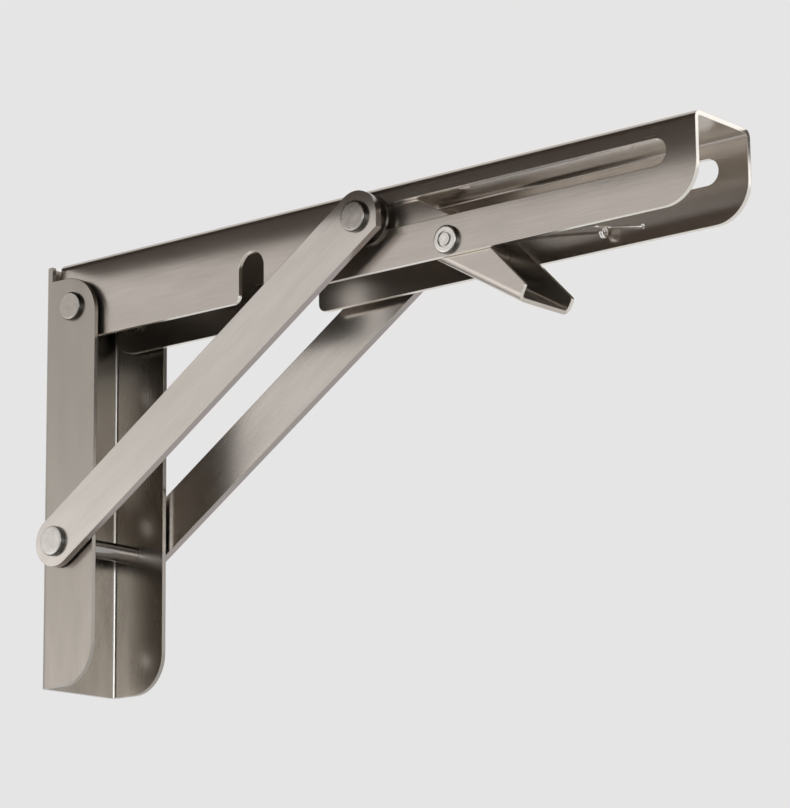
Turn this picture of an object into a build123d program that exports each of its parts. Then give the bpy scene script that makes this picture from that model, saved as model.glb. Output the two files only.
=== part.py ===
from build123d import *
import os
from math import acos, atan2, cos, degrees, hypot, radians, sin, sqrt

# Folding shelf bracket: a wall leg, a shelf arm that folds down into it, and two
# struts whose heads slide along slots in the arm until a release lever locks them.
# Frame: X points away from the wall along the arm, Y runs along the wall, Z is up.
# The origin is the centre of the wall screw holes, on the wall face.
# "left" is the -Y side and "right" the +Y side.

# --- Driving sizes, in millimetres ---

# Folded sheet
sheet = 1.8
bend_inside = 1.2

# Wall leg
leg_width = 39.6
leg_depth = 27.0
leg_below_pivot = 144.9
leg_web_above_pivot = 17.3
leg_flange_above_pivot = 11.5
leg_corner_radius = 15.0
bend_relief = 1.2
wall_hole_radius = 2.75
wall_hole_pitch = 52.0
wall_hole_count = 3
top_wall_hole_drop = 25.0

# Shelf arm
arm_reach = 300.0
arm_web_rise = 19.0
arm_flange_drop = 12.1
arm_wall_end = 9.9
arm_corner_radius = 13.5
shelf_hole_radius = 2.75
shelf_hole_pitch = 70.0
shelf_hole_count = 4
first_shelf_hole_reach = 50.0
slot_rise = 7.0
slot_end_margin = 16.6
notch_play = 2.6
notch_top_play = 7.0
notch_lead_in = 2.3
notch_mouth_radius = 3.2

# Struts
strut_width = 19.0
strut_thickness = 3.0
strut_corner_radius = 1.2

# Pivot places
arm_pivot_reach = 15.0
foot_pivot_reach = 10.8
foot_pivot_drop = 90.7

# Pins, rivets and washers
arm_shank_radius = 3.5
arm_head_radius = 5.5
foot_shank_radius = 2.5
foot_head_radius = 5.7
foot_spacer_radius = 3.5
stud_radius = 4.6
stud_collar_radius = 6.9
slide_washer_radius = 9.2
slide_washer_thickness = 1.0
strut_shank_radius = 3.0
strut_head_radius = 5.7
lever_shank_radius = 3.0
lever_head_radius = 5.1
lever_spacer_radius = 5.5
lever_ring_radius = 2.6
lever_ring_width = 0.7
lever_ring_depth = 0.5
head_height = 1.9
head_rounding = 0.9
closing_head_height = 1.5
arm_washer_thickness = 1.6
foot_washer_thickness = 0.8
washer_overhang = 3.2

# Release lever, measured from its own pivot
lever_beyond_pin = 35.5
lever_pivot_drop = 6.5
lever_sheet = 1.5
lever_bend_inside = 1.5
lever_tail_reach = 28.7
lever_tail_drop = 26.4
lever_tail_height = 6.4
lever_tail_rounding = 1.6
lever_back_reach = 6.0
lever_back_height = 5.8
lever_nose_rounding = 2.0
lever_nose_height = 13.5
lever_nose_flat = 9.5
lever_web_start = 8.0

# Lever spring, placed from the lever's pivot
wire_radius = 0.4
coil_radius = 1.9
coil_turns = 2
coil_pitch = 0.95
coil_beyond_lever = 45.8
coil_drop = 6.6
coil_wall_gap = 0.7
coil_lead = 2.0
wire_bend = 1.2
spring_hole_beyond_lever = 61.0
spring_hole_drop = 6.8
spring_hole_radius = 1.0
spring_end_show = 0.9
lever_hook_back = 3.5
lever_hook_rise = 7.3

# Clearances
side_play = 0.1
turning_clearance = 0.05
seat_clearance = 0.02
slide_clearance = 0.1
open_pivot_gap = 0.3
lever_side_play = 0.25
lever_top_play = 2.3
locked_pin_gap = 0.4

# --- Worked out from the driving sizes ---

arm_pivot_z = top_wall_hole_drop + wall_hole_pitch * (wall_hole_count - 1) / 2
leg_bottom_z = arm_pivot_z - leg_below_pivot
leg_top_z = arm_pivot_z + leg_web_above_pivot
leg_flange_top_z = arm_pivot_z + leg_flange_above_pivot
shelf_z = arm_pivot_z + arm_web_rise
arm_bottom_z = arm_pivot_z - arm_flange_drop
slot_z = arm_pivot_z + slot_rise
foot_z = arm_pivot_z - foot_pivot_drop
lever_z = arm_pivot_z - lever_pivot_drop
bend_outside = bend_inside + sheet

leg_side = leg_width / 2
leg_inside = leg_side - sheet
arm_side = leg_inside - arm_washer_thickness - 2 * side_play
arm_inside = arm_side - sheet
strut_inside = leg_side + foot_washer_thickness + 2 * side_play
strut_outside = strut_inside + strut_thickness
lever_side = arm_inside - lever_side_play
lever_inside = lever_side - lever_sheet

# The linkage: the slide pin ends a margin short of the arm's end when the arm hangs
# down. That place gives the strut's length, and the strut gives the locked place.
folded_offset = arm_pivot_reach + slot_rise - foot_pivot_reach
folded_pin_reach = arm_reach - slot_end_margin
folded_pin_drop = folded_pin_reach - arm_pivot_reach - foot_pivot_drop
strut_length = hypot(folded_pin_drop, folded_offset)
locked_pin_reach = foot_pivot_reach + sqrt(strut_length**2 - (slot_z - foot_z) ** 2)
strut_angle = degrees(atan2(slot_z - foot_z, locked_pin_reach - foot_pivot_reach))
slot_travel = folded_pin_reach - locked_pin_reach
slot_radius = stud_radius + slide_clearance
notch_reach = arm_pivot_reach + foot_pivot_drop - notch_lead_in
notch_radius = foot_spacer_radius + notch_play
folded_foot_z = arm_pivot_z - (arm_pivot_reach - foot_pivot_reach)
notch_top_z = folded_foot_z + foot_spacer_radius + notch_top_play

# The release lever and its spring keep their places behind the locked pin.
lever_pivot_reach = locked_pin_reach + lever_beyond_pin
coil_reach = lever_pivot_reach + coil_beyond_lever
spring_hole_reach = lever_pivot_reach + spring_hole_beyond_lever

sides = {"left": -1, "right": 1}
os.makedirs("parts", exist_ok=True)


def side_plane(reach, height, distance, side):
    """Plane facing outward from one side of the bracket, at a distance from its middle."""
    return Plane(origin=(reach, side * distance, height), x_dir=(1, 0, 0), z_dir=(0, side, 0))


def turning_plane(reach, height, side):
    """Plane through a cross axis: local X is the radius and local Y points outward."""
    return Plane(origin=(reach, 0, height), x_dir=(1, 0, 0), z_dir=(0, 0, side))


def cross_axis(reach, height):
    """Axis along Y through a pivot."""
    return Axis((reach, 0, height), (0, 1, 0))


def head_profile(plane, face, radius, height, ring=False):
    """Half section of a rivet head that stands on a face and has a rounded rim."""
    with BuildSketch(plane) as profile:
        with Locations((0, face)):
            Rectangle(radius, height, align=(Align.MIN, Align.MIN))
        rim = profile.vertices().sort_by(lambda corner: corner.X + corner.Y)[-1]
        fillet(rim, head_rounding)
        if ring:
            with Locations((lever_ring_radius, face + height)):
                Rectangle(lever_ring_width, 2 * lever_ring_depth, mode=Mode.SUBTRACT)
    return profile.sketch


def shank_profile(plane, start, end, radius):
    """Half section of a plain round shank between two distances from the middle."""
    with BuildSketch(plane) as profile:
        with Locations((0, start)):
            Rectangle(radius, end - start, align=(Align.MIN, Align.MIN))
    return profile.sketch


# --- Wall leg: a channel with its web on the wall ---

with BuildPart() as wall_leg:
    with BuildSketch(Plane.XY.offset(leg_bottom_z)):
        with BuildLine():
            FilletPolyline(
                (leg_depth, -leg_side),
                (0, -leg_side),
                (0, leg_side),
                (leg_depth, leg_side),
                radius=bend_outside,
            )
            offset(amount=sheet, side=Side.RIGHT)
        make_face()
    extrude(amount=leg_top_z - leg_bottom_z)
    with BuildSketch(Plane.XZ) as leg_outline:
        with BuildLine():
            shoulder = bend_outside + bend_relief
            Polyline(
                (shoulder, leg_top_z),
                (0, leg_top_z),
                (0, leg_bottom_z),
                (leg_depth, leg_bottom_z),
                (leg_depth, leg_flange_top_z),
                (shoulder, leg_flange_top_z),
                close=True,
            )
        make_face()
        fillet(leg_outline.vertices().group_by(Axis.X)[-1], leg_corner_radius)
    extrude(amount=leg_width, both=True, mode=Mode.INTERSECT)
    with BuildSketch(Plane.XZ):
        with Locations((arm_pivot_reach, arm_pivot_z)):
            Circle(arm_shank_radius + seat_clearance)
        with Locations((foot_pivot_reach, foot_z)):
            Circle(foot_shank_radius + seat_clearance)
    extrude(amount=leg_width, both=True, mode=Mode.SUBTRACT)
    with BuildSketch(Plane.YZ):
        with GridLocations(leg_width, wall_hole_pitch, 1, wall_hole_count):
            Circle(wall_hole_radius)
    extrude(amount=2 * sheet, both=True, mode=Mode.SUBTRACT)
wall_leg.part.label = "wall_leg"
export_step(wall_leg.part, "parts/wall_leg.step")

# --- Shelf arm: a channel with its web under the shelf ---

with BuildPart() as shelf_arm:
    arm_start = arm_pivot_reach - arm_wall_end
    with BuildSketch(Plane.YZ.offset(arm_start)):
        with BuildLine():
            FilletPolyline(
                (-arm_side, arm_bottom_z),
                (-arm_side, shelf_z),
                (arm_side, shelf_z),
                (arm_side, arm_bottom_z),
                radius=bend_outside,
            )
            offset(amount=sheet, side=Side.RIGHT)
        make_face()
    extrude(amount=arm_reach - arm_start)
    with BuildSketch(Plane.XZ) as arm_outline:
        with BuildLine():
            end_angle = degrees(acos(arm_wall_end / arm_flange_drop))
            end_drop = arm_flange_drop * sin(radians(end_angle))
            Polyline(
                (arm_start, arm_pivot_z - end_drop),
                (arm_start, shelf_z),
                (arm_reach, shelf_z),
                (arm_reach, arm_bottom_z + arm_corner_radius),
            )
            CenterArc(
                (arm_reach - arm_corner_radius, arm_bottom_z + arm_corner_radius),
                arm_corner_radius,
                270,
                90,
            )
            Line((arm_reach - arm_corner_radius, arm_bottom_z), (arm_pivot_reach, arm_bottom_z))
            CenterArc(
                (arm_pivot_reach, arm_pivot_z), arm_flange_drop, 180 + end_angle, 90 - end_angle
            )
        make_face()
        with Locations(((locked_pin_reach + folded_pin_reach) / 2, slot_z)):
            SlotCenterToCenter(slot_travel, 2 * slot_radius, mode=Mode.SUBTRACT)
        with Locations((notch_reach, notch_top_z - notch_radius)):
            Circle(notch_radius, mode=Mode.SUBTRACT)
            Rectangle(
                2 * notch_radius,
                2 * arm_flange_drop,
                align=(Align.CENTER, Align.MAX),
                mode=Mode.SUBTRACT,
            )
        along_bottom = arm_outline.vertices().group_by(Axis.Y)[0].sort_by(Axis.X)
        notch_mouth = along_bottom.filter_by_position(
            Axis.X, notch_reach - 2 * notch_radius, notch_reach + 2 * notch_radius
        )
        fillet(notch_mouth, notch_mouth_radius)
        with Locations((arm_pivot_reach, arm_pivot_z)):
            Circle(arm_shank_radius + turning_clearance, mode=Mode.SUBTRACT)
        with Locations((lever_pivot_reach, lever_z)):
            Circle(lever_shank_radius + seat_clearance, mode=Mode.SUBTRACT)
    extrude(amount=leg_width, both=True, mode=Mode.INTERSECT)
    with BuildSketch(Plane.XZ):
        with Locations((spring_hole_reach, arm_pivot_z - spring_hole_drop)):
            Circle(spring_hole_radius)
    extrude(amount=-leg_width, mode=Mode.SUBTRACT)
    with BuildSketch(Plane.XY.offset(shelf_z)):
        for hole in range(shelf_hole_count):
            with Locations((first_shelf_hole_reach + hole * shelf_hole_pitch, 0)):
                Circle(shelf_hole_radius)
    extrude(amount=2 * sheet, both=True, mode=Mode.SUBTRACT)
shelf_arm.part.label = "shelf_arm"
export_step(shelf_arm.part, "parts/shelf_arm.step")

# --- Struts: flat bars with a round foot and a head that is cut plumb on its far side ---

for name, side in sides.items():
    with BuildPart() as strut:
        inner = Plane(
            origin=(foot_pivot_reach, side * strut_inside, foot_z),
            x_dir=(cos(radians(strut_angle)), 0, sin(radians(strut_angle))),
            z_dir=(0, -1, 0),
        )
        with BuildSketch(inner) as strut_outline:
            half = strut_width / 2
            lean = radians(strut_angle)
            heel = strut_length + half * (1 - sin(lean)) / cos(lean)
            with BuildLine():
                CenterArc((0, 0), half, 90, 180)
                Polyline(
                    (0, -half),
                    (heel, -half),
                    (strut_length + half * cos(lean), -half * sin(lean)),
                )
                CenterArc((strut_length, 0), half, -strut_angle, 90 + strut_angle)
                Line((strut_length, half), (0, half))
            make_face()
            plumb_side = strut_outline.vertices().group_by(Axis.X)[-1]
            fillet(plumb_side.sort_by(Axis.Y)[0], strut_corner_radius)
            with Locations((0, 0)):
                Circle(foot_shank_radius + turning_clearance, mode=Mode.SUBTRACT)
            with Locations((strut_length, 0)):
                Circle(strut_shank_radius + seat_clearance, mode=Mode.SUBTRACT)
        extrude(amount=-side * strut_thickness)
    strut.part.label = f"strut_{name}"
    export_step(strut.part, f"parts/strut_{name}.step")

# --- Arm pivot: a rivet and a washer on each side ---

for name, side in sides.items():
    with BuildPart() as arm_rivet:
        section = turning_plane(arm_pivot_reach, arm_pivot_z, side)
        closing_face = arm_inside - side_play
        revolve(
            [
                head_profile(section, leg_side, arm_head_radius, head_height),
                shank_profile(section, closing_face, leg_side, arm_shank_radius),
                shank_profile(
                    section,
                    closing_face - closing_head_height,
                    closing_face,
                    arm_head_radius - head_rounding,
                ),
            ],
            axis=cross_axis(arm_pivot_reach, arm_pivot_z),
        )
    arm_rivet.part.label = f"arm_rivet_{name}"
    export_step(arm_rivet.part, f"parts/arm_rivet_{name}.step")

    with BuildPart() as arm_washer:
        with BuildSketch(side_plane(arm_pivot_reach, arm_pivot_z, arm_side + side_play, side)):
            Circle(arm_shank_radius + washer_overhang)
            Circle(arm_shank_radius + turning_clearance, mode=Mode.SUBTRACT)
        extrude(amount=arm_washer_thickness)
    arm_washer.part.label = f"arm_washer_{name}"
    export_step(arm_washer.part, f"parts/arm_washer_{name}.step")

# --- Foot pivot: one pin right through, a spacer tube and two washers ---

with BuildPart() as foot_pin:
    pin_axis = cross_axis(foot_pivot_reach, foot_z)
    for side in sides.values():
        section = turning_plane(foot_pivot_reach, foot_z, side)
        head_face = strut_outside + side_play
        revolve(
            [
                shank_profile(section, 0, head_face, foot_shank_radius),
                head_profile(section, head_face, foot_head_radius, head_height),
            ],
            axis=pin_axis,
        )
foot_pin.part.label = "foot_pin"
export_step(foot_pin.part, "parts/foot_pin.step")

with BuildPart() as foot_spacer:
    with BuildSketch(Plane.XZ):
        with Locations((foot_pivot_reach, foot_z)):
            Circle(foot_spacer_radius)
            Circle(foot_shank_radius + seat_clearance, mode=Mode.SUBTRACT)
    extrude(amount=leg_inside, both=True)
foot_spacer.part.label = "foot_spacer"
export_step(foot_spacer.part, "parts/foot_spacer.step")

for name, side in sides.items():
    with BuildPart() as foot_washer:
        with BuildSketch(side_plane(foot_pivot_reach, foot_z, leg_side, side)):
            Circle(foot_shank_radius + washer_overhang)
            Circle(foot_shank_radius + seat_clearance, mode=Mode.SUBTRACT)
        extrude(amount=foot_washer_thickness)
    foot_washer.part.label = f"foot_washer_{name}"
    export_step(foot_washer.part, f"parts/foot_washer_{name}.step")

# --- Slide pivot: a collared stud in each slot, its washer on the arm, the strut's rivet ---

for name, side in sides.items():
    washer_face = arm_side + side_play
    collar_face = washer_face + slide_washer_thickness
    section = turning_plane(locked_pin_reach, slot_z, side)
    slide_axis = cross_axis(locked_pin_reach, slot_z)

    with BuildPart() as slide_stud:
        revolve(
            [
                shank_profile(section, arm_inside, collar_face, stud_radius),
                shank_profile(
                    section, collar_face, strut_inside - open_pivot_gap, stud_collar_radius
                ),
            ],
            axis=slide_axis,
        )
    slide_stud.part.label = f"slide_stud_{name}"
    export_step(slide_stud.part, f"parts/slide_stud_{name}.step")

    with BuildPart() as slide_washer:
        with BuildSketch(side_plane(locked_pin_reach, slot_z, washer_face, side)):
            Circle(slide_washer_radius)
            Circle(stud_radius + seat_clearance, mode=Mode.SUBTRACT)
        extrude(amount=slide_washer_thickness)
    slide_washer.part.label = f"slide_washer_{name}"
    export_step(slide_washer.part, f"parts/slide_washer_{name}.step")

    with BuildPart() as strut_rivet:
        revolve(
            [
                shank_profile(section, strut_inside, strut_outside, strut_shank_radius),
                head_profile(section, strut_outside, strut_head_radius, head_height),
            ],
            axis=slide_axis,
        )
    strut_rivet.part.label = f"strut_rivet_{name}"
    export_step(strut_rivet.part, f"parts/strut_rivet_{name}.step")

# --- Release lever: a small channel whose nose stands behind the slide pin ---

with BuildPart() as release_lever:
    nose_x = locked_pin_reach + stud_radius + locked_pin_gap
    nose_top_z = shelf_z - sheet - lever_top_play
    tail_x = lever_pivot_reach + lever_tail_reach
    tail_z = lever_z - lever_tail_drop
    back_x = lever_pivot_reach + lever_back_reach
    nose_low_z = nose_top_z - lever_nose_height
    under_line = Plane(
        origin=(tail_x, 0, tail_z),
        x_dir=(0, 1, 0),
        z_dir=(tail_x - nose_x, 0, tail_z - nose_low_z),
    )
    web_slope = atan2(nose_low_z - tail_z, tail_x - nose_x)
    tail_top = (
        tail_x + lever_tail_height * sin(web_slope),
        tail_z + lever_tail_height * cos(web_slope),
    )
    with BuildSketch(under_line):
        with BuildLine():
            flange_top = nose_top_z - tail_z
            FilletPolyline(
                (-lever_side, flange_top),
                (-lever_side, 0),
                (lever_side, 0),
                (lever_side, flange_top),
                radius=lever_bend_inside + lever_sheet,
            )
            offset(amount=lever_sheet, side=Side.LEFT)
        make_face()
    extrude(amount=2 * (tail_x - nose_x), both=True)
    with BuildSketch(Plane.XZ) as lever_outline:
        with BuildLine():
            Polyline(
                (nose_x, nose_low_z),
                (nose_x, nose_top_z),
                (nose_x + lever_nose_flat, nose_top_z),
                (back_x, lever_z + lever_back_height),
                tail_top,
                (tail_x, tail_z),
                close=True,
            )
        make_face()
        fillet(lever_outline.vertices().sort_by(Axis.Y)[-2:], lever_nose_rounding)
        fillet(lever_outline.vertices().sort_by(Axis.X)[-1], lever_tail_rounding)
        with Locations((lever_pivot_reach, lever_z)):
            Circle(lever_shank_radius + turning_clearance, mode=Mode.SUBTRACT)
    extrude(amount=leg_width, both=True, mode=Mode.INTERSECT)
    with BuildSketch(Plane.XZ):
        with Locations((lever_pivot_reach - lever_web_start, lever_z)):
            Rectangle(arm_reach, arm_reach, align=(Align.MAX, Align.CENTER))
    extrude(amount=lever_inside, both=True, mode=Mode.SUBTRACT)
    with BuildSketch(Plane.XZ):
        with Locations((lever_pivot_reach - lever_hook_back, lever_z + lever_hook_rise)):
            Circle(spring_hole_radius)
    extrude(amount=-leg_width, mode=Mode.SUBTRACT)
release_lever.part.label = "release_lever"
export_step(release_lever.part, "parts/release_lever.step")

with BuildPart() as lever_rivet:
    for side in sides.values():
        section = turning_plane(lever_pivot_reach, lever_z, side)
        revolve(
            [
                shank_profile(section, 0, arm_side, lever_shank_radius),
                head_profile(section, arm_side, lever_head_radius, head_height, ring=True),
            ],
            axis=cross_axis(lever_pivot_reach, lever_z),
        )
lever_rivet.part.label = "lever_rivet"
export_step(lever_rivet.part, "parts/lever_rivet.step")

with BuildPart() as lever_spacer:
    with BuildSketch(Plane.XZ):
        with Locations((lever_pivot_reach, lever_z)):
            Circle(lever_spacer_radius)
            Circle(lever_shank_radius + seat_clearance, mode=Mode.SUBTRACT)
    extrude(amount=lever_inside - side_play, both=True)
lever_spacer.part.label = "lever_spacer"
export_step(lever_spacer.part, "parts/lever_spacer.step")

# --- Lever spring: one wire, hooked in the lever's right plate, wound into a short
# close coil and led out through a hole in the arm's right flange ---

with BuildPart() as lever_spring:
    coil_side = arm_inside - coil_radius - wire_radius - coil_wall_gap
    hook_x = lever_pivot_reach - lever_hook_back
    hook_z = lever_z + lever_hook_rise
    hole_z = arm_pivot_z - spring_hole_drop
    with BuildLine() as coil:
        Helix(
            pitch=coil_pitch,
            height=coil_turns * coil_pitch,
            radius=coil_radius,
            center=(coil_reach, coil_side, arm_pivot_z - coil_drop),
            direction=(1, 0, 0),
            lefthand=True,
        )
    coil_start = coil.line @ 0
    coil_end = coil.line @ 1
    lead_in = coil_start - (coil.line % 0) * coil_lead
    lead_out = coil_end + (coil.line % 1) * coil_lead
    with BuildLine() as wire:
        FilletPolyline(
            (hook_x, lever_side, hook_z),
            (hook_x, coil_side, hook_z),
            lead_in,
            coil_start,
            radius=wire_bend,
        )
        add(coil.line)
        FilletPolyline(
            coil_end,
            lead_out,
            (spring_hole_reach, lead_out.Y, hole_z),
            (spring_hole_reach, arm_side + spring_end_show, hole_z),
            radius=wire_bend,
        )
    with BuildSketch(Plane(origin=wire.line @ 0, z_dir=wire.line % 0)):
        Circle(wire_radius)
    sweep(path=wire.wires()[0])
lever_spring.part.label = "lever_spring"
export_step(lever_spring.part, "parts/lever_spring.step")
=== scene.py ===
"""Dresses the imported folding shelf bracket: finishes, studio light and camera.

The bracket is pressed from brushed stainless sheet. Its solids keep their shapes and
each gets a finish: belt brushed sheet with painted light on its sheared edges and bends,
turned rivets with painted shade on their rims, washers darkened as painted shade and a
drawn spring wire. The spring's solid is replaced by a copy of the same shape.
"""

import logging
import math
from dataclasses import dataclass
from enum import Enum

import bpy
from mathutils import Matrix, Vector


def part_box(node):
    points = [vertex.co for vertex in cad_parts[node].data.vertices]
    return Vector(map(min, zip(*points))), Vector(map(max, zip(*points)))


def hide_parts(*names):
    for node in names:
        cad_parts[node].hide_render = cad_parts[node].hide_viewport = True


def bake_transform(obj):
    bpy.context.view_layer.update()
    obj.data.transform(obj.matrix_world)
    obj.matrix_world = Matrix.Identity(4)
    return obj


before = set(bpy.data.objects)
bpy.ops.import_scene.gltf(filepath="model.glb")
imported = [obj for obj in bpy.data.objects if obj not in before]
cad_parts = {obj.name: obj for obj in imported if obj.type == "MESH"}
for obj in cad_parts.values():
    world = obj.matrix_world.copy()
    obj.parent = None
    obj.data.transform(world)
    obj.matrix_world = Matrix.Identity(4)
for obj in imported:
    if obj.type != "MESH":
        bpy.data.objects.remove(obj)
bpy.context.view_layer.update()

LOG = logging.getLogger("shelf_bracket")
MM = 0.001

# The mix node's sockets share their names, so they go by number.
MIX_SHARE = 0
MIX_FIRST_VALUE = 2
MIX_SECOND_VALUE = 3
MIX_FIRST_COLOUR = 6
MIX_SECOND_COLOUR = 7
MIXED_VALUE = 0
MIXED_COLOUR = 2


class Axis(Enum):
    """A row axis, by its place in a vector."""

    X = 0
    Y = 1
    Z = 2


def linear(hex_colour: str) -> tuple[float, float, float, float]:
    """Turns an sRGB hex value into a linear colour, by the curve of its standard.

    Args:
        hex_colour: Six hex digits after a hash.

    Returns:
        Linear red, green and blue, and an alpha of 1.
    """
    parts = [int(hex_colour[start : start + 2], 16) / 255 for start in (1, 3, 5)]
    red, green, blue = (
        part / 12.92 if part <= 0.04045 else ((part + 0.055) / 1.055) ** 2.4
        for part in parts
    )
    return red, green, blue, 1.0


def darker(hex_colour: str, share: float) -> tuple[float, float, float, float]:
    """Darkens an sRGB hex value.

    Args:
        hex_colour: Six hex digits after a hash.
        share: The share of its light that is kept.

    Returns:
        Linear red, green and blue, and an alpha of 1.
    """
    red, green, blue, alpha = linear(hex_colour)
    return red * share, green * share, blue * share, alpha


def add_node(
    tree: bpy.types.NodeTree,
    kind: str,
    settings: dict | None = None,
    inputs: dict | None = None,
) -> bpy.types.Node:
    """Adds a node with its settings, socket values and links.

    Args:
        tree: The node tree that takes the node.
        kind: The node's Blender type name.
        settings: Attributes of the node.
        inputs: For each socket, by name or number, a value or an output to link.

    Returns:
        The new node.
    """
    node = tree.nodes.new(kind)
    for name, value in (settings or {}).items():
        setattr(node, name, value)
    for name, value in (inputs or {}).items():
        if isinstance(value, bpy.types.NodeSocket):
            tree.links.new(value, node.inputs[name])
        else:
            node.inputs[name].default_value = value
    return node


@dataclass(frozen=True, kw_only=True)
class Steel:
    """Bare stainless steel, with a fine pattern that each finish adds in its own way.

    The pattern shows in the tone, in the roughness and as a slight relief, and every
    sharp edge catches the light on a small round.

    Attributes:
        name: The material's name.
        tone: The steel's usual colour; the leg's is darker, as painted shade.
        roughness: The middle of its roughness.
        roughness_spread: How far the roughness goes each way from its middle.
        contrast: How much darker the darkest of its pattern is, as a share of the tone.
        edge_round_mm: Radius of the round on its sharp edges.
        edge_samples: How finely that round is worked out.
        relief_mm: Depth of its pattern.
        relief_share: The share of that depth that shows.
    """

    name: str
    tone: str
    roughness: float
    roughness_spread: float
    contrast: float
    edge_round_mm: float
    edge_samples: int = 6
    relief_mm: float = 0.02
    relief_share: float

    def bare_material(self) -> bpy.types.Material:
        """Makes the finish's material, with no node in it yet.

        Returns:
            The new material.
        """
        material = bpy.data.materials.new(self.name)
        material.use_nodes = True
        material.node_tree.nodes.clear()
        return material

    def patterned_tone(
        self, tree: bpy.types.NodeTree, pattern: bpy.types.NodeSocket
    ) -> bpy.types.NodeSocket:
        """Adds the steel's tone, darker where its pattern is low.

        Args:
            tree: The material's node tree.
            pattern: The pattern's output, from 0 to 1.

        Returns:
            The tone's output.
        """
        return add_node(
            tree,
            "ShaderNodeMix",
            {"data_type": "RGBA"},
            {
                MIX_SHARE: pattern,
                MIX_FIRST_COLOUR: darker(self.tone, 1 - self.contrast),
                MIX_SECOND_COLOUR: linear(self.tone),
            },
        ).outputs[MIXED_COLOUR]

    def shade(
        self,
        tree: bpy.types.NodeTree,
        colour: bpy.types.NodeSocket,
        pattern: bpy.types.NodeSocket,
        height: bpy.types.NodeSocket,
        streaks: dict | None = None,
    ) -> None:
        """Adds the roughness, the relief and the metal that shows them.

        Args:
            tree: The material's node tree.
            colour: The colour's output.
            pattern: The output that the roughness falls with, from 0 to 1.
            height: The output that the relief follows, from 0 to 1.
            streaks: The metal's sockets for highlights that smear one way.
        """
        rough = add_node(
            tree,
            "ShaderNodeMapRange",
            inputs={
                "Value": pattern,
                "To Min": self.roughness + self.roughness_spread,
                "To Max": self.roughness - self.roughness_spread,
            },
        )
        rounded = add_node(
            tree,
            "ShaderNodeBevel",
            {"samples": self.edge_samples},
            {"Radius": self.edge_round_mm * MM},
        )
        relief = add_node(
            tree,
            "ShaderNodeBump",
            inputs={
                "Strength": self.relief_share,
                "Distance": self.relief_mm * MM,
                "Height": height,
                "Normal": rounded.outputs["Normal"],
            },
        )
        metal = add_node(
            tree,
            "ShaderNodeBsdfPrincipled",
            inputs={
                "Base Color": colour,
                "Metallic": 1.0,
                "Roughness": rough.outputs["Result"],
                "Normal": relief.outputs["Normal"],
                **(streaks or {}),
            },
        )
        add_node(
            tree, "ShaderNodeOutputMaterial", inputs={"Surface": metal.outputs["BSDF"]}
        )


@dataclass(frozen=True)
class SheetEdges:
    """Where a folded sheet's sheared edges and bends lie.

    Attributes:
        inside_mm: Half the channel's inside width, where the flanges begin.
        depth_axis: The axis along the flanges' depth.
        bend_mm: How far along that axis the bends end.
        outward: 1 where the flanges run up the depth axis and -1 where they run down.
        end_axis: The axis that the sheet's ends face.
        painted_bend_tone: The colour inside the bends, painted light: a painted highlight on
            the leg and lever, painted shade on the arm.
    """

    inside_mm: float
    depth_axis: Axis
    bend_mm: float
    outward: int
    end_axis: Axis
    painted_bend_tone: str


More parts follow.
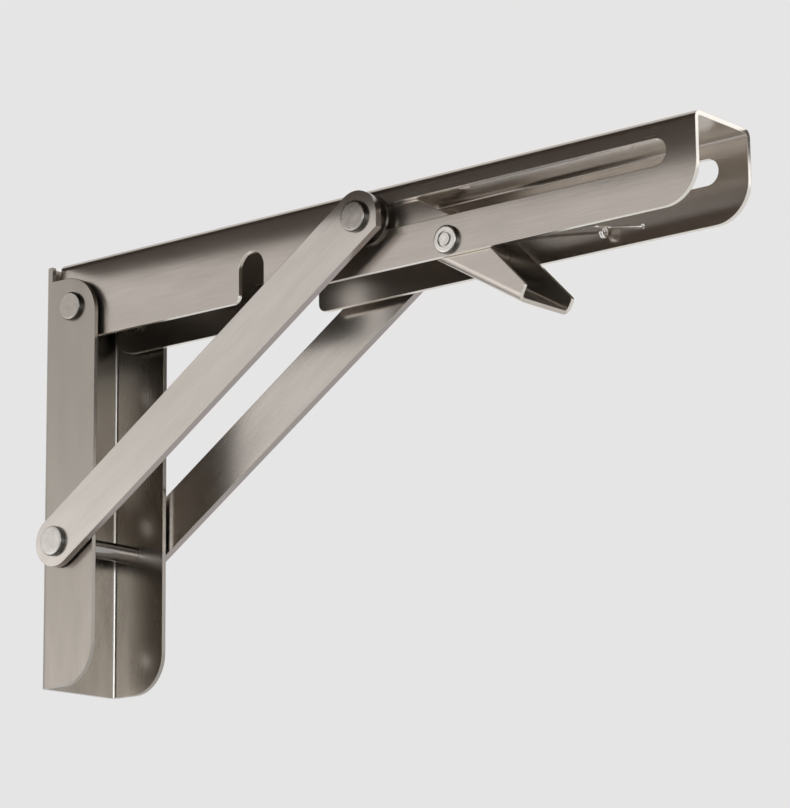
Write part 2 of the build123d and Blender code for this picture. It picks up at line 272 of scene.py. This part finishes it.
@dataclass(frozen=True, kw_only=True)
class BrushedSteel(Steel):
    """Stainless steel sheet with a belt brushed grain.

    The belt leaves fine parallel lines, so highlights smear across them, and rolling
    leaves a slow drift in tone. Sheared edges have a tone of their own that also holds
    painted light, and the inside of the bends gets painted highlights and painted shade.

    Attributes:
        edge_tone_with_painted_light: The colour of a sheared edge: its own tone, paler as a
            painted highlight on the arm and lever, darker as painted shade on the struts.
        grain_axis: The axis that the grain follows before it is turned.
        grain_turn: How far the grain is turned about Y, in degrees.
        line_mm: Width of a brushed line. Real grit leaves lines of 0.1 mm, which are
            too fine to show, so these are drawn coarser.
        line_length_mm: Length of a brushed line.
        line_layers: How many finer layers the lines have.
        drift_mm: Size of the slow drift in tone, across the grain.
        drift_stretch: How many times longer the drift is along the grain.
        drift_layers: How many finer layers the drift has.
        drift_share: The share that the drift has in the pattern, beside the lines.
        layer_strength: How strong each finer layer is, as a share of the one before.
        darkest: The value of the noise that is drawn darkest.
        palest: The value of the noise that is drawn palest.
        smear: How far the lines smear the highlights.
        side_start: The part of the surface's direction from which it faces sideways.
        end_start: The part of that direction from which it faces one of the ends.
        bend_start: The part of that direction from which it counts as a bend.
        edges: The sheared edges of a folded sheet, or None for a flat bar.
    """

    roughness_spread: float = 0.04
    contrast: float = 0.16
    edge_round_mm: float = 0.3
    relief_share: float = 0.12
    edge_tone_with_painted_light: str
    grain_axis: Axis
    grain_turn: float = 0.0
    line_mm: float = 0.22
    line_length_mm: float = 14.0
    line_layers: float = 2.0
    drift_mm: float = 7.0
    drift_stretch: float = 4.0
    drift_layers: float = 1.0
    drift_share: float = 0.5
    layer_strength: float = 0.55
    darkest: float = 0.28
    palest: float = 0.72
    smear: float = 0.5
    side_start: float = 0.5
    end_start: float = 0.9
    bend_start: float = 0.2
    edges: SheetEdges | None = None

    def grain(
        self, tree: bpy.types.NodeTree, across_mm: float, along_mm: float, layers: float
    ) -> bpy.types.NodeSocket:
        """Adds noise that is stretched along the grain.

        Args:
            tree: The material's node tree.
            across_mm: Size of the noise across the grain.
            along_mm: Size of the noise along the grain.
            layers: How many finer layers the noise has.

        Returns:
            The noise's output, from 0 to 1.
        """
        place = add_node(tree, "ShaderNodeTexCoord")
        turned_place = add_node(
            tree,
            "ShaderNodeMapping",
            inputs={
                "Vector": place.outputs["Object"],
                "Rotation": (0.0, math.radians(self.grain_turn), 0.0),
            },
        )
        scale = [1 / (across_mm * MM)] * 3
        scale[self.grain_axis.value] = 1 / (along_mm * MM)
        stretched = add_node(
            tree,
            "ShaderNodeMapping",
            inputs={"Vector": turned_place.outputs["Vector"], "Scale": scale},
        )
        noise = add_node(
            tree,
            "ShaderNodeTexNoise",
            inputs={
                "Vector": stretched.outputs["Vector"],
                "Scale": 1.0,
                "Detail": layers,
                "Roughness": self.layer_strength,
            },
        )
        return add_node(
            tree,
            "ShaderNodeMapRange",
            inputs={
                "Value": noise.outputs["Fac"],
                "From Min": self.darkest,
                "From Max": self.palest,
            },
        ).outputs["Result"]

    @staticmethod
    def far_from_zero(
        tree: bpy.types.NodeTree, value: bpy.types.NodeSocket, limit: float
    ) -> bpy.types.NodeSocket:
        """Adds a test that is 1 where a value is further from zero than a limit.

        Args:
            tree: The material's node tree.
            value: The value to test.
            limit: The distance from zero.

        Returns:
            The test's output.
        """
        size = add_node(tree, "ShaderNodeMath", {"operation": "ABSOLUTE"}, {0: value})
        return add_node(
            tree,
            "ShaderNodeMath",
            {"operation": "GREATER_THAN"},
            {0: size.outputs[0], 1: limit},
        ).outputs[0]

    def cut_mask(
        self, tree: bpy.types.NodeTree, place: bpy.types.Node, facing: bpy.types.Node
    ) -> bpy.types.NodeSocket:
        """Adds a mask that is 1 on the sheared edges.

        Args:
            tree: The material's node tree.
            place: The node that gives the place on the piece.
            facing: The node that parts the surface's direction into its axes.

        Returns:
            The mask's output.
        """
        side = self.far_from_zero(tree, facing.outputs["Y"], self.side_start)
        off_side = add_node(
            tree, "ShaderNodeMath", {"operation": "SUBTRACT"}, {0: 1.0, 1: side}
        ).outputs[0]
        if self.edges is None:
            return off_side
        point = add_node(
            tree, "ShaderNodeSeparateXYZ", inputs={"Vector": place.outputs["Object"]}
        )
        in_flange = self.far_from_zero(
            tree, point.outputs["Y"], self.edges.inside_mm * MM
        )
        beyond = "GREATER_THAN" if self.edges.outward > 0 else "LESS_THAN"
        past_bend = add_node(
            tree,
            "ShaderNodeMath",
            {"operation": beyond},
            {0: point.outputs[self.edges.depth_axis.name], 1: self.edges.bend_mm * MM},
        ).outputs[0]
        rim = off_side
        for mask in (in_flange, past_bend):
            rim = add_node(
                tree, "ShaderNodeMath", {"operation": "MULTIPLY"}, {0: rim, 1: mask}
            ).outputs[0]
        ends = self.far_from_zero(
            tree, facing.outputs[self.edges.end_axis.name], self.end_start
        )
        return add_node(
            tree, "ShaderNodeMath", {"operation": "MAXIMUM"}, {0: rim, 1: ends}
        ).outputs[0]

    def bend_mask(
        self, tree: bpy.types.NodeTree, facing: bpy.types.Node
    ) -> bpy.types.NodeSocket:
        """Adds a mask that is 1 inside a folded sheet's bends, where their painted light
        goes.

        Args:
            tree: The material's node tree.
            facing: The node that parts the surface's direction into its axes.

        Returns:
            The mask's output.
        """
        outward = add_node(
            tree,
            "ShaderNodeMath",
            {"operation": "MULTIPLY"},
            {0: facing.outputs[self.edges.depth_axis.name], 1: self.edges.outward},
        )
        turned_out = add_node(
            tree,
            "ShaderNodeMath",
            {"operation": "GREATER_THAN"},
            {0: outward.outputs[0], 1: self.bend_start},
        )
        turned_in = self.far_from_zero(tree, facing.outputs["Y"], self.bend_start)
        return add_node(
            tree,
            "ShaderNodeMath",
            {"operation": "MULTIPLY"},
            {0: turned_out.outputs[0], 1: turned_in},
        ).outputs[0]

    def along_grain(self, tree: bpy.types.NodeTree) -> bpy.types.NodeSocket:
        """Adds the grain's direction, which stretches the highlights across it.

        Args:
            tree: The material's node tree.

        Returns:
            The direction's output.
        """
        along = Vector([float(axis is self.grain_axis) for axis in Axis])
        along.rotate(Matrix.Rotation(-math.radians(self.grain_turn), 3, "Y"))
        direction = add_node(
            tree,
            "ShaderNodeCombineXYZ",
            inputs={axis.name: along[axis.value] for axis in Axis},
        )
        return add_node(
            tree,
            "ShaderNodeVectorTransform",
            {"vector_type": "VECTOR", "convert_from": "OBJECT", "convert_to": "WORLD"},
            {"Vector": direction.outputs["Vector"]},
        ).outputs["Vector"]

    def build(self) -> bpy.types.Material:
        """Makes the material.

        Returns:
            The new material.
        """
        material = self.bare_material()
        tree = material.node_tree
        lines = self.grain(tree, self.line_mm, self.line_length_mm, self.line_layers)
        drift = self.grain(
            tree, self.drift_mm, self.drift_mm * self.drift_stretch, self.drift_layers
        )
        pattern = add_node(
            tree,
            "ShaderNodeMix",
            {"data_type": "FLOAT"},
            {MIX_SHARE: self.drift_share, MIX_FIRST_VALUE: lines, MIX_SECOND_VALUE: drift},
        ).outputs[MIXED_VALUE]
        place = add_node(tree, "ShaderNodeTexCoord")
        facing = add_node(
            tree, "ShaderNodeSeparateXYZ", inputs={"Vector": place.outputs["Normal"]}
        )
        # Sheared edges and bends get tones that hold painted highlights and painted shade.
        layers = [(self.cut_mask(tree, place, facing), self.edge_tone_with_painted_light)]
        if self.edges is not None:
            layers.append((self.bend_mask(tree, facing), self.edges.painted_bend_tone))
        colour = self.patterned_tone(tree, pattern)
        for mask, tone in layers:
            colour = add_node(
                tree,
                "ShaderNodeMix",
                {"data_type": "RGBA"},
                {MIX_SHARE: mask, MIX_FIRST_COLOUR: colour, MIX_SECOND_COLOUR: linear(tone)},
            ).outputs[MIXED_COLOUR]
        streaks = {"Anisotropic": self.smear, "Tangent": self.along_grain(tree)}
        self.shade(tree, colour, pattern, lines, streaks)
        return material


@dataclass(frozen=True, kw_only=True)
class TurnedSteel(Steel):
    """Stainless steel turned or headed on a cross axis.

    The tool leaves faint rings round the axis, and handling leaves small soft marks.
    The rims get a darker tone than the faces, as painted shade on the sides of the heads.

    Attributes:
        rim: The share of the tone that the rims have, as painted shade.
        centre: The axis's place in X and Z, in metres.
        ring_mm: Width of a ring, drawn coarser than the real 0.1 mm so that it shows.
        ring_layers: How many finer layers the rings have.
        mark_mm: Size of a handling mark.
        mark_layers: How many finer layers the marks have.
        mark_share: The share that the marks have in the pattern, beside the rings.
        darkest: The value of the noise that is drawn darkest.
        palest: The value of the noise that is drawn palest.
        rim_end: The part of the surface's direction up to which it is a rim.
        face_start: The part of that direction from which it is a face.
    """

    roughness_spread: float = 0.06
    contrast: float = 0.25
    edge_round_mm: float = 0.25
    relief_share: float = 0.25
    rim: float
    centre: tuple[float, float]
    ring_mm: float = 0.45
    ring_layers: float = 2.0
    mark_mm: float = 2.5
    mark_layers: float = 3.0
    mark_share: float = 0.6
    darkest: float = 0.3
    palest: float = 0.7
    rim_end: float = 0.55
    face_start: float = 0.92

    def pattern(
        self, tree: bpy.types.NodeTree, place: bpy.types.Node
    ) -> bpy.types.NodeSocket:
        """Adds the rings and marks.

        Args:
            tree: The material's node tree.
            place: The node that gives the place on the piece.

        Returns:
            The pattern's output, from 0 to 1.
        """
        from_axis = add_node(
            tree,
            "ShaderNodeVectorMath",
            {"operation": "SUBTRACT"},
            {0: place.outputs["Object"], 1: (self.centre[0], 0.0, self.centre[1])},
        )
        flat = add_node(
            tree,
            "ShaderNodeVectorMath",
            {"operation": "MULTIPLY"},
            {0: from_axis.outputs["Vector"], 1: (1.0, 0.0, 1.0)},
        )
        radius = add_node(
            tree,
            "ShaderNodeVectorMath",
            {"operation": "LENGTH"},
            {0: flat.outputs["Vector"]},
        )
        rings = add_node(
            tree,
            "ShaderNodeTexNoise",
            {"noise_dimensions": "1D"},
            {
                "W": radius.outputs["Value"],
                "Scale": 1 / (self.ring_mm * MM),
                "Detail": self.ring_layers,
            },
        )
        marks = add_node(
            tree,
            "ShaderNodeTexNoise",
            inputs={
                "Vector": place.outputs["Object"],
                "Scale": 1 / (self.mark_mm * MM),
                "Detail": self.mark_layers,
            },
        )
        blend = add_node(
            tree,
            "ShaderNodeMix",
            {"data_type": "FLOAT"},
            {
                MIX_SHARE: self.mark_share,
                MIX_FIRST_VALUE: rings.outputs["Fac"],
                MIX_SECOND_VALUE: marks.outputs["Fac"],
            },
        )
        return add_node(
            tree,
            "ShaderNodeMapRange",
            inputs={
                "Value": blend.outputs[MIXED_VALUE],
                "From Min": self.darkest,
                "From Max": self.palest,
            },
        ).outputs["Result"]

    def build(self) -> bpy.types.Material:
        """Makes the material.

        Returns:
            The new material.
        """
        material = self.bare_material()
        tree = material.node_tree
        place = add_node(tree, "ShaderNodeTexCoord")
        pattern = self.pattern(tree, place)
        facing = add_node(
            tree, "ShaderNodeSeparateXYZ", inputs={"Vector": place.outputs["Normal"]}
        )
        sideways = add_node(
            tree, "ShaderNodeMath", {"operation": "ABSOLUTE"}, {0: facing.outputs["Y"]}
        )
        on_face = add_node(
            tree,
            "ShaderNodeMapRange",
            inputs={
                "Value": sideways.outputs[0],
                "From Min": self.rim_end,
                "From Max": self.face_start,
            },
        )
        # The rims take a darker tone: painted shade on the sides of the heads.
        colour = add_node(
            tree,
            "ShaderNodeMix",
            {"data_type": "RGBA"},
            {
                MIX_SHARE: on_face.outputs["Result"],
                MIX_FIRST_COLOUR: darker(self.tone, self.rim),
                MIX_SECOND_COLOUR: self.patterned_tone(tree, pattern),
            },
        ).outputs[MIXED_COLOUR]
        self.shade(tree, colour, pattern, pattern)
        return material


class Turned(Enum):
    """The turned finishes: tone of the faces, share of it left on the rims as painted shade,
    roughness.
    """

    PALE = ("#F3EEE7", 0.13, 0.25)
    BRIGHT = ("#D6D1CB", 0.15, 0.25)
    WORN = ("#BFB8B0", 0.15, 0.26)
    # Darker tone for the washers, studs and spacer: painted shade, with a rougher face.
    DULL = ("#8C857D", 0.6, 0.3)
    TUBE = ("#A9A5A1", 0.95, 0.2)
    DRAWN = ("#F6F3EE", 0.97, 0.14)


def dress(node: str, finish: BrushedSteel | TurnedSteel) -> None:
    """Gives a solid its finish.

    Args:
        node: The solid's name.
        finish: The finish that the real piece has.
    """
    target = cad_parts[node]
    target.data.materials.clear()
    target.data.materials.append(finish.build())
    LOG.info("%s: %s", node, finish.name)


def middle(node: str) -> tuple[float, float]:
    """Finds the centre of a solid's box.

    Args:
        node: The solid's name.

    Returns:
        The centre's place in X and Z, in metres.
    """
    low, high = (Vector(corner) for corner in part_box(node))
    centre = (low + high) / 2
    return centre.x, centre.z


def turned(node: str, kind: Turned) -> TurnedSteel:
    """Makes the turned finish of a small round piece.

    Args:
        node: The solid's name.
        kind: Which of the turned finishes it has.

    Returns:
        The finish.
    """
    tone, rim, roughness = kind.value
    return TurnedSteel(
        name=f"turned_stainless_{node}",
        tone=tone,
        rim=rim,
        roughness=roughness,
        centre=middle(node),
    )


@dataclass
class WallLeg:
    """The channel on the wall, with the pivots that it carries.

    Attributes:
        sheet_mm: Thickness of its sheet.
        bend_mm: Outside radius of its bends.
    """

    sheet_mm: float = 1.8
    bend_mm: float = 3.0

    def dress(self) -> None:
        """Gives the leg, its rivets, its washers and its spacer their finishes."""
        low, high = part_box("wall_leg")
        sheet = BrushedSteel(
            name="brushed_stainless_leg",
            # The leg's tone is darker than the other pieces' steel: painted shade for the
            # shelf above it.
            tone="#ABA49B",
            # Sheared edge tone, a little darker as painted shade.
            edge_tone_with_painted_light="#A8A29B",
            roughness=0.25,
            grain_axis=Axis.Z,
            edges=SheetEdges(
                inside_mm=high[1] / MM - self.sheet_mm,
                depth_axis=Axis.X,
                bend_mm=low[0] / MM + self.bend_mm,
                outward=1,
                end_axis=Axis.Z,
                # Painted highlight inside the bends.
                painted_bend_tone="#DAD5CE",
            ),
        )
        dress("wall_leg", sheet)
        kinds = {"foot_pin": Turned.BRIGHT, "foot_spacer": Turned.TUBE}
        for side in ("left", "right"):
            kinds[f"arm_rivet_{side}"] = Turned.WORN
            kinds[f"arm_washer_{side}"] = Turned.DULL
            kinds[f"foot_washer_{side}"] = Turned.DULL
        for node, kind in kinds.items():
            dress(node, turned(node, kind))


@dataclass
class ShelfArm:
    """The channel under the shelf, with the rivet that carries the lever.

    Attributes:
        sheet_mm: Thickness of its sheet.
        bend_mm: Outside radius of its bends.
    """

    sheet_mm: float = 1.8
    bend_mm: float = 3.0

    def dress(self) -> None:
        """Gives the arm, the lever's rivet and its spacer their finishes."""
        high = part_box("shelf_arm")[1]
        sheet = BrushedSteel(
            name="brushed_stainless_arm",
            tone="#CCC4BB",
            # Sheared edge tone, paler as a painted highlight.
            edge_tone_with_painted_light="#E6E1D9",
            roughness=0.24,
            grain_axis=Axis.X,
            edges=SheetEdges(
                inside_mm=high[1] / MM - self.sheet_mm,
                depth_axis=Axis.Z,
                bend_mm=high[2] / MM - self.bend_mm,
                outward=-1,
                end_axis=Axis.X,
                # Painted shade inside the bends.
                painted_bend_tone="#B4ADA5",
            ),
        )
        dress("shelf_arm", sheet)
        dress("lever_rivet", turned("lever_rivet", Turned.PALE))
        dress("lever_spacer", turned("lever_spacer", Turned.DULL))


@dataclass
class StrutPair:
    """The two flat struts, with the rivets in their heads.

    Attributes:
        rise_degrees: How far the struts rise from level when the arm is out.
    """

    rise_degrees: float = 33.28

    def dress(self) -> None:
        """Gives the struts and their rivets their finishes."""
        for side in ("left", "right"):
            bar = BrushedSteel(
                name=f"brushed_stainless_strut_{side}",
                tone="#D7D0C8",
                # Sheared edge tone, darker as painted shade.
                edge_tone_with_painted_light="#A69E9A",
                roughness=0.23,
                grain_axis=Axis.X,
                grain_turn=self.rise_degrees,
            )
            dress(f"strut_{side}", bar)
            dress(f"strut_rivet_{side}", turned(f"strut_rivet_{side}", Turned.WORN))


@dataclass
class SlidePin:
    """The studs and washers that run along the arm's slots."""

    def dress(self) -> None:
        """Gives the studs and washers their finishes."""
        for side in ("left", "right"):
            for piece in ("slide_stud", "slide_washer"):
                node = f"{piece}_{side}"
                dress(node, turned(node, Turned.DULL))


@dataclass
class ReleaseLever:
    """The lever that locks the slide pin, and its spring.

    Attributes:
        sheet_mm: Thickness of its sheet.
        still_wire_mm: How far beyond the lever's pivot the spring's wire stays still. Not
            used.
        hooked_wire_mm: How far before the pivot it turns with the lever. Not used.
    """

    sheet_mm: float = 1.5
    still_wire_mm: float = 10.0
    hooked_wire_mm: float = 2.0

    def dress(self) -> None:
        """Gives the lever and its spring their finishes."""
        low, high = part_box("release_lever")
        # The lever's web isn't level, so every edge above its lowest point is taken.
        sheet = BrushedSteel(
            name="brushed_stainless_lever",
            tone="#CEC6BD",
            # Sheared edge tone, paler as a painted highlight.
            edge_tone_with_painted_light="#E0DAD2",
            roughness=0.24,
            grain_axis=Axis.X,
            edges=SheetEdges(
                inside_mm=high[1] / MM - self.sheet_mm,
                depth_axis=Axis.Z,
                bend_mm=low[2] / MM,
                outward=1,
                end_axis=Axis.X,
                # Painted highlight inside the bends.
                painted_bend_tone="#E0DAD2",
            ),
        )
        dress("release_lever", sheet)
        dress("lever_spring", turned("lever_spring", Turned.DRAWN))
        self.hook_spring()

    def hook_spring(self) -> None:
        """Replaces the spring's solid with a copy of the same shape."""
        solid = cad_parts["lever_spring"]
        wire = bpy.data.objects.new("hooked_lever_spring", solid.data.copy())
        bpy.context.scene.collection.objects.link(wire)
        wire.matrix_world = solid.matrix_world
        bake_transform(wire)
        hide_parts("lever_spring")


@dataclass(frozen=True)
class Lamp:
    """A soft square lamp.

    Attributes:
        name: The lamp's name.
        place: Its place, in metres.
        aim: The point that it shines at, in metres.
        size: Its side, in metres.
        power: Its power, in watts.
        colour: Its colour, as linear red, green and blue.
    """

    name: str
    place: tuple[float, float, float]
    aim: tuple[float, float, float]
    size: float
    power: float
    colour: tuple[float, float, float] = (1.0, 1.0, 1.0)

    def hang(self) -> None:
        """Hangs the lamp at its place and turns it to what it lights."""
        data = bpy.data.lights.new(self.name, "AREA")
        data.size = self.size
        data.energy = self.power
        data.color = self.colour
        lamp = bpy.data.objects.new(self.name, data)
        bpy.context.scene.collection.objects.link(lamp)
        lamp.location = self.place
        direction = Vector(self.aim) - Vector(self.place)
        lamp.rotation_mode = "QUATERNION"
        lamp.rotation_quaternion = direction.to_track_quat("-Z", "Y")


@dataclass
class Studio:
    """The floor, the pale surroundings, the lamps, the flags and the camera.

    Attributes:
        floor_drop: How far the floor lies below the bracket's origin, in metres.
        backdrop: Colour of the surroundings.
        floor: Colour of the floor.
        floor_reach: How far the floor reaches each way, in metres.
        level: Strength of the light that matt surfaces get from the surroundings.
        paint_roughness: Roughness of the paint on the floor and the flags.
        flag: Colour of the flags.
        flag_gap: How far the flags lie above the arm's top, in metres.
        flag_length: How far the flags reach out from the wall, in metres.
        left_flag_ends: The left flag's outer edge in Y, at the wall and at its far
            end, in metres.
        right_flag_edge: The right flag's outer edge in Y, in metres.
        lamps: The lamps.
        camera_place: The camera's place, in metres.
        camera_aim: The point that it looks at, in metres.
        camera_roll: How far it is rolled, in degrees.
        camera_lens: Its focal length, in millimetres.
        camera_sensor: The width of its sensor, in millimetres.
        camera_near: The distance from which it sees, in metres.
    """

    floor_drop: float = 1.1
    backdrop: str = "#E6E5E5"
    floor: str = "#E9E9E9"
    floor_reach: float = 30.0
    level: float = 0.95
    paint_roughness: float = 0.9
    flag: str = "#4A3E36"
    flag_gap: float = 0.5 * MM
    flag_length: float = 0.32
    left_flag_ends: tuple[float, float] = (-0.042, -0.072)
    right_flag_edge: float = 0.45
    lamps: tuple[Lamp, ...] = (
        Lamp("leg_lamp", (-0.85, -0.85, -0.1), (0.0, 0.0, -0.05), size=0.6, power=0.6),
        Lamp("under_lamp", (-0.55, -1.05, -0.5), (0.15, 0.0, 0.05), size=0.8, power=0.8),
        Lamp(
            "front_lamp",
            (1.1, -0.9, 0.02),
            (0.0, 0.0, -0.05),
            size=0.5,
            power=2.6,
            colour=(0.84, 0.92, 1.0),
        ),
        Lamp("edge_lamp", (0.95, 0.98, 0.45), (0.3, 0.0, 0.08), size=0.5, power=0.45),
    )
    camera_place: tuple[float, float, float] = (0.88465, -0.88008, -0.23867)
    camera_aim: tuple[float, float, float] = (0.15548, 0.00232, 0.02124)
    camera_roll: float = -0.59
    camera_lens: float = 147.19
    camera_sensor: float = 36.0
    camera_near: float = 0.01

    def matt_paint(self, name: str, colour: str) -> bpy.types.Material:
        """Makes a plain matt paint.

        Args:
            name: The material's name.
            colour: Its colour, as six hex digits after a hash.

        Returns:
            The new material.
        """
        paint = bpy.data.materials.new(name)
        paint.use_nodes = True
        shader = paint.node_tree.nodes["Principled BSDF"]
        shader.inputs["Base Color"].default_value = linear(colour)
        shader.inputs["Roughness"].default_value = self.paint_roughness
        return paint

    @staticmethod
    def lay_card(
        name: str,
        corners: list[tuple[float, float]],
        height: float,
        paint: bpy.types.Material,
    ) -> bpy.types.Object:
        """Lays a thin level card.

        Args:
            name: The card's name.
            corners: Its four corners in X and Y, in metres.
            height: Its height in Z, in metres.
            paint: The paint on it.

        Returns:
            The card.
        """
        mesh = bpy.data.meshes.new(name)
        mesh.from_pydata([(x, y, height) for x, y in corners], [], [(0, 1, 2, 3)])
        mesh.materials.append(paint)
        card = bpy.data.objects.new(name, mesh)
        bpy.context.scene.collection.objects.link(card)
        return card

    def lay_floor(self) -> None:
        """Makes the plain floor."""
        reach = self.floor_reach
        corners = [(-reach, -reach), (reach, -reach), (reach, reach), (-reach, reach)]
        paint = self.matt_paint("matt_floor", self.floor)
        floor = self.lay_card("floor", corners, -self.floor_drop, paint)

    def fill_world(self) -> None:
        """Makes the pale surroundings, which metal shows as well as the camera."""
        world = bpy.data.worlds.new("pale_surroundings")
        bpy.context.scene.world = world
        world.use_nodes = True
        tree = world.node_tree
        tree.nodes.clear()
        path = add_node(tree, "ShaderNodeLightPath")
        seen = path.outputs["Is Camera Ray"]
        for ray in ("Is Glossy Ray", "Is Transmission Ray"):
            seen = add_node(
                tree,
                "ShaderNodeMath",
                {"operation": "MAXIMUM"},
                {0: seen, 1: path.outputs[ray]},
            ).outputs[0]
        colour = add_node(
            tree,
            "ShaderNodeMix",
            {"data_type": "RGBA"},
            {
                MIX_SHARE: seen,
                MIX_FIRST_COLOUR: (self.level, self.level, self.level, 1.0),
                MIX_SECOND_COLOUR: linear(self.backdrop),
            },
        )
        light = add_node(
            tree,
            "ShaderNodeBackground",
            inputs={"Color": colour.outputs[MIXED_COLOUR], "Strength": 1.0},
        )
        add_node(
            tree, "ShaderNodeOutputWorld", inputs={"Surface": light.outputs["Background"]}
        )

    def hang_flags(self) -> None:
        """Hangs two dark flags at the level where the shelf would rest.

        Steel seen from below mirrors the shelf's underside. The flags darken the same
        reflections, one on each side of the arm, and are seen in nothing else.
        """
        arm_side, arm_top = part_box("shelf_arm")[1][1:]
        wall_end, far_end = self.left_flag_ends
        reach = self.flag_length
        outlines = {
            "flag_left": [
                (0.0, wall_end),
                (reach, far_end),
                (reach, -arm_side),
                (0.0, -arm_side),
            ],
            "flag_right": [
                (0.0, arm_side),
                (reach, arm_side),
                (reach, self.right_flag_edge),
                (0.0, self.right_flag_edge),
            ],
        }
        paint = self.matt_paint("matt_flag", self.flag)
        for name, corners in outlines.items():
            flag = self.lay_card(name, corners, arm_top + self.flag_gap, paint)
            flag.visible_camera = False
            flag.visible_diffuse = False
            flag.visible_shadow = False
            flag.visible_transmission = False

    def set_camera(self) -> None:
        """Sets the camera at its place."""
        data = bpy.data.cameras.new("camera")
        data.lens = self.camera_lens
        data.sensor_width = self.camera_sensor
        data.clip_start = self.camera_near
        camera = bpy.data.objects.new("camera", data)
        bpy.context.scene.collection.objects.link(camera)
        direction = Vector(self.camera_aim) - Vector(self.camera_place)
        turn = direction.to_track_quat("-Z", "Y").to_matrix().to_4x4()
        roll = Matrix.Rotation(math.radians(self.camera_roll), 4, "Z")
        camera.matrix_world = Matrix.Translation(self.camera_place) @ turn @ roll
        bpy.context.scene.camera = camera

    def build(self) -> None:
        """Makes the whole studio."""
        self.lay_floor()
        self.fill_world()
        for lamp in self.lamps:
            lamp.hang()
        self.hang_flags()
        self.set_camera()
        bpy.context.scene.view_settings.view_transform = "Standard"


def main() -> None:
    """Dresses each sub-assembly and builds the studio."""
    logging.basicConfig(level=logging.INFO, format="%(message)s")
    for assembly in (WallLeg(), ShelfArm(), StrutPair(), SlidePin(), ReleaseLever()):
        assembly.dress()
        LOG.info("%s dressed", type(assembly).__name__)
    Studio().build()


if __name__ == "__main__":
    main()
